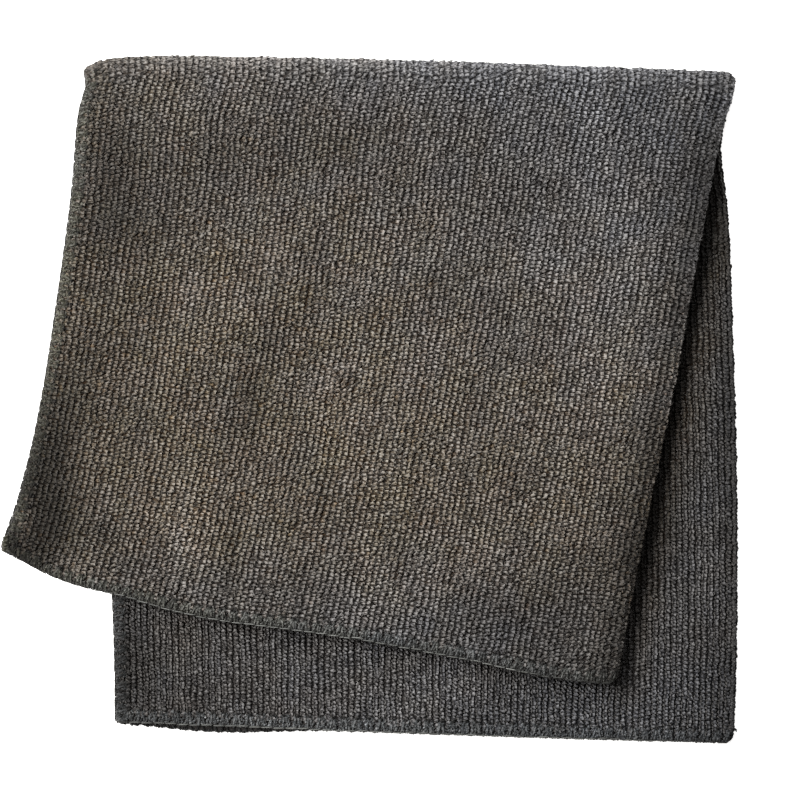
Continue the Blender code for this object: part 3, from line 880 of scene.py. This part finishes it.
def loops_piece(name, chosen, grain, loop, is_back, seed):
    """Each loop is a grain along the face's own ways, turned by the slant and by the rise of the
    tip. Its bareness is 3 h^2 - 2 h^3 of the height h over the ground. Its tone falls with it from 1
    at the top to the root's, a painted shade down among the fibres, and its depth is 1 less its
    bareness."""
    draw = np.random.default_rng(seed)
    count = int(chosen.sum())
    across, along = loop_across[chosen], loop_along[chosen]
    place = Place(*(part[chosen] for part in loop_place))
    plan_x, plan_y = across * HALF_SIDE, along * HALF_SIDE
    lean = loop.slant + uneven(plan_x, plan_y, SLANT_SWAY)
    slant = np.radians(lean + draw.normal(0, loop.slant_spread, count))[:, None]
    rise = np.radians(draw.normal(TIP_RISE, TIP_RISE_SPREAD, count))[:, None]
    size = np.exp(draw.normal(0, SIZE_SPREAD, count))

    flat_way = place.across_way * np.cos(slant) - place.along_way * np.sin(slant)
    short_way = unit(np.cross(place.face_up, flat_way))
    long_way = flat_way * np.cos(rise) + place.face_up * np.sin(rise)
    opened = fold_opening(across, along)
    on_top_fold = np.exp(-((along / TOP_TURN) ** 2))
    stand = LOOP_LEVEL + (PRESSED_STAND - LOOP_LEVEL) * edge_nearness(across, along)
    stand = stand + FOLD_OPENING * on_top_fold + uneven(plan_x, plan_y, STAND_SWAY)
    stand = stand + draw.normal(0, STAND_SPREAD, count)
    centre = place.point + place.face_up * stand[:, None]

    shape, faces = grain_shape(*grain)
    half_length = loop.half_length * size * (1 + OPEN_LONGER * opened)
    half_width = loop.half_width * size * (1 + OPEN_WIDER * opened)
    ways = long_way, short_way, np.cross(long_way, short_way)
    points = placed_grains(shape, centre, ways, (half_length, half_width, loop.half_height * size))

    above = np.einsum("nvk,nk->nv", points - place.point[:, None, :], place.face_up)
    bareness = smooth((above - BARE_FROM) / BARE_OVER)
    wide_tone, coolness = painted_shading_and_wear_at(place.point[:, 0], place.point[:, 1], is_back)
    own_tone = wide_tone * hole_shade(across, along) * np.exp(draw.normal(0, TONE_SPREAD, count))
    tone = (ROOT_PAINTED_SHADE + (1 - ROOT_PAINTED_SHADE) * bareness) * own_tone[:, None]
    return copies_piece(
        name, points, faces, pile_material, tone=tone, coolness=coolness[:, None], depth=1 - bareness
    )


left_half = loop_across < np.median(loop_across[front_face])
pile = [
    loops_piece("pile_front_left", front_face & left_half, FULL_GRAIN, FRONT_LOOP, False, 21),
    loops_piece("pile_front_right", front_face & ~left_half, FULL_GRAIN, FRONT_LOOP, False, 22),
    loops_piece("pile_back", back_face, FULL_GRAIN, BACK_LOOP, True, 23),
    loops_piece("pile_under", underside, PRESSED_GRAIN, BACK_LOOP, True, 24),
]
print("pile:", {piece.name: len(piece.data.polygons) for piece in pile})

# %% [markdown]
# ## Threads as tubes
# A thread is a tube carried along its path. Each ring of the tube stands across the path, and it is
# wider than it is high, because the thread is pulled flat over the edge. A bevelled curve would
# only turn into the same tube.

# %% Threads as tubes
THREAD_COOLNESS = 0.85


def tube_points(path, out_way, half_width, half_height, sides):
    """Rings round (n, m, 3) paths. A ring point is path + cos(a) * half_width * side_way +
    sin(a) * half_height * out_way, with both ways square to the path."""
    onwards = unit(np.gradient(path, axis=1))
    side_way = unit(np.cross(onwards, out_way))
    out_way = np.cross(side_way, onwards)
    angle = np.arange(sides) * 2 * math.pi / sides
    ring = side_way[..., None, :] * np.cos(angle)[:, None] * half_width[..., None, None]
    ring = ring + out_way[..., None, :] * np.sin(angle)[:, None] * half_height[..., None, None]
    points = path[..., None, :] + ring
    points[..., 2] = np.maximum(points[..., 2], ABOVE_FLOOR)
    return points


def stitch_tubes(run, share, depth, height, half_width, half_height, sides):
    """Tubes along (n, m) paths, given in a run's measures. Within the sheet a path point is
    middle + height * face_up. Beyond the edge, where depth is negative, it moves outwards too."""
    place, inwards = run_place(run, share, np.maximum(depth, 0))
    beyond = np.minimum(depth, 0)[..., None]
    path = place.point + place.face_up * height[..., None] + inwards * beyond
    out_way = unit(place.face_up * height[..., None] + inwards * (beyond - ABOVE_FLOOR))
    return tube_points(path, out_way, half_width, half_height, sides)


def tube_faces(rings, sides):
    """Triangles of a closed tube: walls between rings, and a fan over each end."""
    walls = triangles(grid_faces(rings, sides, wrap=True))
    fan = np.arange(1, sides - 1)
    first_end = np.stack([np.zeros_like(fan), fan + 1, fan], axis=1)
    last_end = np.stack([np.zeros_like(fan), fan, fan + 1], axis=1) + (rings - 1) * sides
    return np.concatenate([walls, first_end, last_end])


def on_back_pair(run, share):
    """Whether a tube of a run, by the mean of its path's shares, lies on the back pair."""
    return edge_at(run, share.mean(axis=1))[1] < 0


def thread_piece(name, points, is_back, shade, material, tone_spread, seed):
    """One piece from (n, rings, sides, 3) tubes, each tube with a tone of its own, times a shade
    for each ring."""
    count, rings, sides, _ = points.shape
    points = points.reshape(count, -1, 3)
    is_back = is_back[:, None]
    wide_tone, coolness = painted_shading_and_wear_at(points[..., 0], points[..., 1], is_back)
    own = np.exp(np.random.default_rng(seed).normal(0, tone_spread, count))
    return copies_piece(
        name, points, tube_faces(rings, sides), material,
        tone=wide_tone * own[:, None] * np.repeat(shade, sides, axis=1),
        coolness=np.maximum(coolness, THREAD_COOLNESS * is_back),
    )


print("one tube of 9 rings and 4 sides:", len(tube_faces(9, 4)), "triangles")

# %% [markdown]
# ## The overlock threads
# From each needle hole two legs of thread spread to the edge, go round it and come back on the
# other face. They could be drawn alone, as tubes, but then they would look like wire: this yarn is
# crimped and fluffy, and it springs open into short flecks that nearly hide the legs. So flecks are
# set out in lanes from the hole line, over the edge and under it, each turned a little its own way.
# The legs stand just proud of them. Both are painted darker where they turn under, as shade.

# %% The overlock threads
ROLL_DEPTH = 1.8 * MM  # where the band starts to round over, from the edge
ROLL_OUT = 0.44 * MM  # how far it reaches beyond the edge
ROLL_HEIGHT = 0.90 * MM  # how high it lies over the sheet's middle
LEG_HALF_WIDTH, LEG_HALF_HEIGHT = 0.30 * MM, 0.26 * MM
LEG_SPREAD, LEG_GATHERED = 0.25, 0.8  # of a stitch at the edge, and how much less at the hole
LEG_PROUD, LEG_DIVE = 0.24, 0.5 * MM
LEG_RINGS, LEG_SIDES = 9, 4
LEG_LIGHTER = 1.25  # a leg is drawn tight, so it is smoother and lighter than its fluff
AT_EDGE_SPREAD, PROUD_SPREAD, PLUMP_SPREAD, LEG_TONE_SPREAD = 0.05, 0.08, 0.15, 0.16
SCALLOP, LOWEST_SCALLOP = 0.12 * MM, 0.50 * MM
UNDER_TONE = 0.30

roll_angle = np.linspace(0, math.pi, 25)
roll_depth = ROLL_DEPTH - (ROLL_DEPTH + ROLL_OUT) * np.sin(roll_angle)
band_depth = np.concatenate([[NEEDLE_DEPTH], roll_depth, [NEEDLE_DEPTH]])
band_height = ROLL_HEIGHT * np.concatenate([[1], np.cos(roll_angle), [-1]])
band_steps = np.hypot(np.diff(band_depth), np.diff(band_height))
band_way = np.concatenate([[0], np.cumsum(band_steps)])


def band_at(way):
    """Depth and height at a way from the needle hole, over the band's rounded section."""
    return np.interp(way, band_way, band_depth), np.interp(way, band_way, band_height)


def swelling(run, share, in_stitch, depth):
    """sin(pi p) - 0.6 times the scallop, with p the way between two needle holes, and fading inwards
    from the edge. The scallop is larger on the outer, lower ply of the back hem."""
    lowest = (edge_at(run, share)[0] < 0) & (run == BACK_HEM)
    swell = SCALLOP + (LOWEST_SCALLOP - SCALLOP) * lowest
    swell = swell * (np.sin(math.pi * np.clip(in_stitch, 0, 1)) - 0.6)
    return swell * (1 - np.clip(depth / ROLL_DEPTH, 0, 1))


def under_shade(height):
    """1 where a thread lies on the face, falling to UNDER_TONE where it has turned under."""
    return UNDER_TONE + (1 - UNDER_TONE) * smooth(height / (0.5 * ROLL_HEIGHT))


draw = np.random.default_rng(31)
leg_way = np.linspace(0, band_way[-1], LEG_RINGS)[None, :]
tubes = []
for run in RUNS:
    holes, count = stitch_shares(run)
    depth, height = band_at(leg_way)
    from_edge = np.clip(depth / NEEDLE_DEPTH, 0, 1)
    for side in (-1, 1):
        at_edge = side * LEG_SPREAD + draw.normal(0, AT_EDGE_SPREAD, (count, 1))
        share = holes[1:, None] + np.diff(holes)[:, None] * at_edge * (1 - LEG_GATHERED * from_edge)
        share = np.clip(share, 0, 1)
        dive = LEG_DIVE * from_edge**4 * np.sign(height)
        lifted = height * (1 + draw.normal(LEG_PROUD, PROUD_SPREAD, (count, 1))) - dive
        plump = np.exp(draw.normal(0, PLUMP_SPREAD, (count, 1)))
        width, thick = LEG_HALF_WIDTH * plump, LEG_HALF_HEIGHT * plump
        leg = stitch_tubes(run, share, depth, lifted, width, thick, LEG_SIDES)
        tubes.append((leg, on_back_pair(run, share), under_shade(lifted)))
points, is_back, shade = map(np.concatenate, zip(*tubes))
shade = shade * LEG_LIGHTER
legs = thread_piece("overlock_legs", points, is_back, shade, thread_material, LEG_TONE_SPREAD, 41)
print("overlock legs:", len(points), "triangles:", len(legs.data.polygons))

# %% [markdown]
# ## The overlock's fluff
# Each fleck is a small grain, like a loop of the pile but finer. On the face it lies along the way
# from the needle hole to the edge, and round the edge it turns with the thread. Hair would be finer
# still, but at this size it would only blur. The front hem rolls under, and its edge is painted
# darker as the shade of that roll.

# %% The overlock's fluff
FLECK_LANES, FLECK_ROWS = 5, 8
FLECK_HALF_SIZES = (0.62 * MM, 0.40 * MM, 0.30 * MM)
FLECK_TURN, FLECK_FAN = 34, 25  # degrees, by chance either way and away from the hole
FLECK_START, FLECK_END = 0.2 * MM, 5.2 * MM  # ways over the band
GATHERED = 0.35
LANE_SPREAD, ROW_SPREAD, RISE_SPREAD = 0.22, 0.2, 0.07 * MM
FLECK_SIZE_SPREAD, FLECK_TONE_SPREAD = 0.2, 0.40
FRONT_HEM_PAINTED_SHADE, FRONT_HEM_ROLL = 0.48, 2.6 * MM
fleck_shape, fleck_faces = grain_shape(*PRESSED_GRAIN)


def flecks_piece(name, points, is_back, shade, back_coolness):
    """One piece of (n, m, 3) flecks, each with one tone, the cloth's times its shade."""
    tone, coolness = painted_shading_and_wear_at(points[:, 0, 0], points[:, 0, 1], is_back)
    coolness = np.maximum(coolness, back_coolness * is_back)
    return copies_piece(
        name, points, fleck_faces, thread_material,
        tone=(tone * shade)[:, None], coolness=coolness[:, None],
    )


flecks = []
for run in RUNS:
    holes, count = stitch_shares(run)
    lane, row = np.meshgrid(np.arange(FLECK_LANES), np.arange(FLECK_ROWS), indexing="ij")
    lane, row = (np.tile(part.ravel(), count) for part in (lane, row))
    stitch = np.repeat(np.arange(count), FLECK_LANES * FLECK_ROWS)
    many = len(stitch)
    in_stitch = (lane + 0.5 + draw.normal(0, LANE_SPREAD, many)) / FLECK_LANES
    in_row = (row + 0.5 * (lane % 2) + draw.normal(0, ROW_SPREAD, many)) / FLECK_ROWS
    way = np.clip(FLECK_START + (FLECK_END - FLECK_START) * in_row, 0, FLECK_END)
    depth, height = band_at(way)
    onwards = np.subtract(band_at(way + 0.1 * MM), band_at(way - 0.1 * MM))
    to_inside, to_top = (onwards / np.hypot(*onwards))[..., None]

    to_hole = np.round(in_stitch) - in_stitch
    gather = to_hole * GATHERED * np.clip(depth / NEEDLE_DEPTH, 0, 1)
    share = np.clip(holes[stitch] + np.diff(holes)[stitch] * (in_stitch + gather), 0, 1)
    depth = depth - swelling(run, share, in_stitch, depth)
    place, inwards = run_place(run, share, np.maximum(depth, 0))
    height = height + draw.normal(0, RISE_SPREAD, many)
    centre = place.point + place.face_up * height[:, None] + inwards * np.minimum(depth, 0)[:, None]
    on_way = inwards * to_inside + place.face_up * to_top
    out_way = inwards * to_top - place.face_up * to_inside
    turn = np.radians(draw.normal(0, FLECK_TURN, many) + FLECK_FAN * to_hole)[:, None]
    long_way = on_way * np.cos(turn) + np.cross(out_way, on_way) * np.sin(turn)
    size = np.exp(draw.normal(0, FLECK_SIZE_SPREAD, many))
    half_sizes = [half_size * size for half_size in FLECK_HALF_SIZES]
    ways = long_way, np.cross(out_way, long_way), out_way
    grains = placed_grains(fleck_shape, centre, ways, half_sizes)

    beside_hole = np.hypot(way, to_hole * STITCH_PITCH) / HOLE_RADIUS
    shade = under_shade(height) * (1 - HOLE_SHADE * np.exp(-(beside_hole**2)))
    # Painted shade: the front hem's fluff is darker towards the edge, where it rolls under.
    if run == FRONT_HEM:
        shade = shade * (1 - FRONT_HEM_PAINTED_SHADE * smooth(1 - depth / FRONT_HEM_ROLL))
    shade = shade * np.exp(draw.normal(0, FLECK_TONE_SPREAD, many))
    flecks.append((grains, edge_at(run, share)[1] < 0, shade))
fluff = flecks_piece("overlock_fluff", *map(np.concatenate, zip(*flecks)), THREAD_COOLNESS)
print("triangles of fluff:", len(fluff.data.polygons))

# %% [markdown]
# ## Needle holes
# Where the needle went in, the thread dives into the cloth and leaves a pit with no light in it. A
# real pit would need a far finer ground, so a small dark grain, set just proud of the fluff at each
# hole, stands for the shade in it.

# %% Needle holes
PIT_HALF_SIZES = (0.50 * MM, 0.44 * MM, 0.14 * MM)
PIT_TONE, PIT_PROUD = 0.10, 0.48 * MM
PIT_SHARE_SPREAD, PIT_DEPTH_SPREAD, PIT_SIZE_SPREAD = 0.0006, 0.10 * MM, 0.2
pits = []
for run in RUNS:
    holes, count = stitch_shares(run)
    share = holes[1:-1] + draw.normal(0, PIT_SHARE_SPREAD, count - 1)
    depth = NEEDLE_DEPTH + draw.normal(0, PIT_DEPTH_SPREAD, count - 1)
    place, inwards = run_place(run, share, depth)
    centre = place.point + place.face_up * (ROLL_HEIGHT + PIT_PROUD)
    ways = inwards, np.cross(place.face_up, inwards), place.face_up
    half_sizes = [size * np.exp(draw.normal(0, PIT_SIZE_SPREAD, count - 1)) for size in PIT_HALF_SIZES]
    pits.append((placed_grains(fleck_shape, centre, ways, half_sizes), edge_at(run, share)[1] < 0))
needle_holes = flecks_piece("needle_holes", *map(np.concatenate, zip(*pits)), PIT_TONE, 0)
print("triangles of needle holes:", len(needle_holes.data.polygons))

# %% [markdown]
# ## The edge thread
# Where the threads of the two faces lock into each other, a finer, lighter thread lies along the
# very edge, and it shows as a line of small bright dashes. It lies on top of the edge along the
# hems. Along the left edges, and where the upper pair hangs over, it has slipped under. Along the
# left edges its dashes are painted dark, as the shade under the edge. A picture of dashes would stay
# flat, so each is a short tube.

# %% The edge thread
DASH_SIDES = 5
DASH_HALF_WIDTH, BACK_HEM_HALF_WIDTH, DASH_OUT = 0.18 * MM, 0.27 * MM, 0.25 * MM
DASH_START, DASH_SHARE = 0.03, 0.94  # of a stitch
DASH_TILT = 5  # degrees, either way of its middle
ROLL_ON_TOP, ROLL_SLIPPED = 58, 100  # degrees round the edge's roll, from its top
SLIP_FROM, SLIP_TO = 0.78, 0.90  # of the upper pair's width, where it slips under towards the left
# Along the left edges the dashes are painted dark, as shade under the edge.
DASH_TONES, SLIPPED_PAINTED_SHADE = {FRONT_HEM: 1.0, BACK_HEM: 0.65}, 0.25
ROLL_SPREAD, DASH_PLUMP_SPREAD, DASH_TONE_SPREAD = 5, 0.10, 0.15  # the first in degrees
CORNER_SHARE, CORNER_DARKER = 0.12, 0.75
dash_way = np.linspace(0, 1, 6)[None, :]
dashes = []
for run in RUNS:
    holes, count = stitch_shares(run)
    share = holes[:-1, None] + np.diff(holes)[:, None] * (DASH_START + DASH_SHARE * dash_way)
    share = np.clip(share, 0, 1)
    from_fold = np.abs(edge_at(run, share)[0])
    slipped = smooth((from_fold - SLIP_FROM) / (SLIP_TO - SLIP_FROM))
    slipped = slipped * (run == FRONT_HEM) + (run not in DASH_TONES)
    rolled = ROLL_ON_TOP + (ROLL_SLIPPED - ROLL_ON_TOP) * slipped
    rolled = np.radians(rolled + DASH_TILT * (1 - 2 * dash_way) + draw.normal(0, ROLL_SPREAD, (count, 1)))
    depth = ROLL_DEPTH - (ROLL_DEPTH + ROLL_OUT + DASH_OUT) * np.sin(rolled)
    height = (ROLL_HEIGHT + DASH_OUT) * np.cos(rolled)
    plump = (0.5 + 0.5 * np.sin(math.pi * dash_way)) * np.exp(draw.normal(0, DASH_PLUMP_SPREAD, (count, 1)))
    width = (BACK_HEM_HALF_WIDTH if run == BACK_HEM else DASH_HALF_WIDTH) * plump
    near_fold = 1 - smooth(from_fold / CORNER_SHARE - 0.5)
    shade = DASH_TONES.get(run, SLIPPED_PAINTED_SHADE) * (1 - CORNER_DARKER * near_fold)
    tube = stitch_tubes(run, share, depth, height, width, width, DASH_SIDES)
    dashes.append((tube, on_back_pair(run, share), shade))
joined = map(np.concatenate, zip(*dashes))
edge_thread = thread_piece("edge_thread", *joined, edge_material, DASH_TONE_SPREAD, 42)
print("triangles of edge thread:", len(edge_thread.data.polygons))

# %% [markdown]
# ## Thread ends
# The overlock machine sews a short chain of loops past the end of a seam. At the upper pair's
# lower left corner that chain is pushed back into a knob, and at two corners of the back pair
# short ends of it stick out. A knob could be modelled as a lump, but a coil of thread about a line
# catches the light as thread does. An end is a tapered curve.

# %% Thread ends
KNOB_TOP, KNOB_BOTTOM = np.array((-114.9, -43.3, 5.0)), np.array((-115.3, -47.8, 4.7))  # in mm
KNOB_RADIUS, KNOB_TURNS = 0.75 * MM, 7
KNOB_THICK, KNOB_LIGHTER = 0.44 * MM, 1.4
# Rows of where an end starts, and how far it goes across and down, all in mm.
ENDS = (
    (114.7, -103.9, 2.6, 0.8, -0.4), (114.4, -103.6, 3.0, 0.9, -0.9), (-76.6, -101.2, 2.2, 0.6, -1.1),
    (-75.6, -101.3, 2.0, 0.2, -1.3), (-79.4, -100.6, 2.0, -0.4, -1.2),
)
END_THICK, END_TAPER, END_STRETCH, END_TONE_SPREAD = 0.40 * MM, 0.35, 1.6, 0.1
ROUND_SIDES = 6
COIL_RINGS, END_RINGS = 84, 6


def coil(top, bottom, radius, turns):
    """From top to bottom, turning about that line: base + radius * (cos t, 0.2 sin 2t, sin t). With
    p from 0 to 1 on the way, the radius swells as 0.7 + 0.4 sin(pi p) and wavers a little."""
    p = np.linspace(0, 1, COIL_RINGS)[:, None]
    base = top * (1 - p) + bottom * p
    p = p[:, 0]
    t = 2 * math.pi * turns * p
    swollen = radius * (0.7 + 0.4 * np.sin(math.pi * p) + 0.15 * np.sin(7.3 * p * math.pi))
    round_line = np.stack([np.cos(t) * swollen, 0.2 * swollen * np.sin(2 * t), np.sin(t) * swollen], axis=1)
    return base * MM + round_line


def thread_end(x, y, z, across, down):
    """start + (straight * p + droop * p^2) * END_STRETCH, with p from 0 to 1 on the way."""
    p = np.linspace(0, 1, END_RINGS)[:, None]
    straight = np.array([across, 0.4 * down, 0.0])
    droop = np.array([0.0, 0.6 * down, -0.6])
    return (np.array([x, y, z]) + straight * p * END_STRETCH + droop * p**2 * END_STRETCH) * MM


knob_path = coil(KNOB_TOP, KNOB_BOTTOM, KNOB_RADIUS, KNOB_TURNS)[None]
from_axis = unit(knob_path - (KNOB_TOP + KNOB_BOTTOM) / 2 * MM)
width = np.full((1, COIL_RINGS), KNOB_THICK)
points = tube_points(knob_path, from_axis, width, width, ROUND_SIDES)
shade = np.full((1, COIL_RINGS), KNOB_LIGHTER)
knob = thread_piece("thread_knob", points, np.array([False]), shade, thread_material, 0.0, 43)

paths = np.stack([thread_end(*end) for end in ENDS])
shade = np.ones((len(ENDS), END_RINGS))
width = END_THICK * np.linspace(1, END_TAPER, END_RINGS) * shade
points = tube_points(paths, np.array([0.0, 0.0, 1.0]), width, width, ROUND_SIDES)
is_back = np.ones(len(ENDS), bool)
thread_ends = thread_piece("thread_ends", points, is_back, shade, thread_material, END_TONE_SPREAD, 44)
print("knob of", KNOB_TURNS, "turns, loose ends:", len(ENDS))

# %% [markdown]
# ## Finishing
# Every piece rides on the model's one body. The ground, together with the pile and the threads,
# stands for the plain solid, which is hidden.

# %% Finishing
worked = [*pile, legs, fluff, needle_holes, edge_thread, knob, thread_ends]
for piece in (ground, *worked):
    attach(piece, "root")
    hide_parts(CLOTH_NODE)
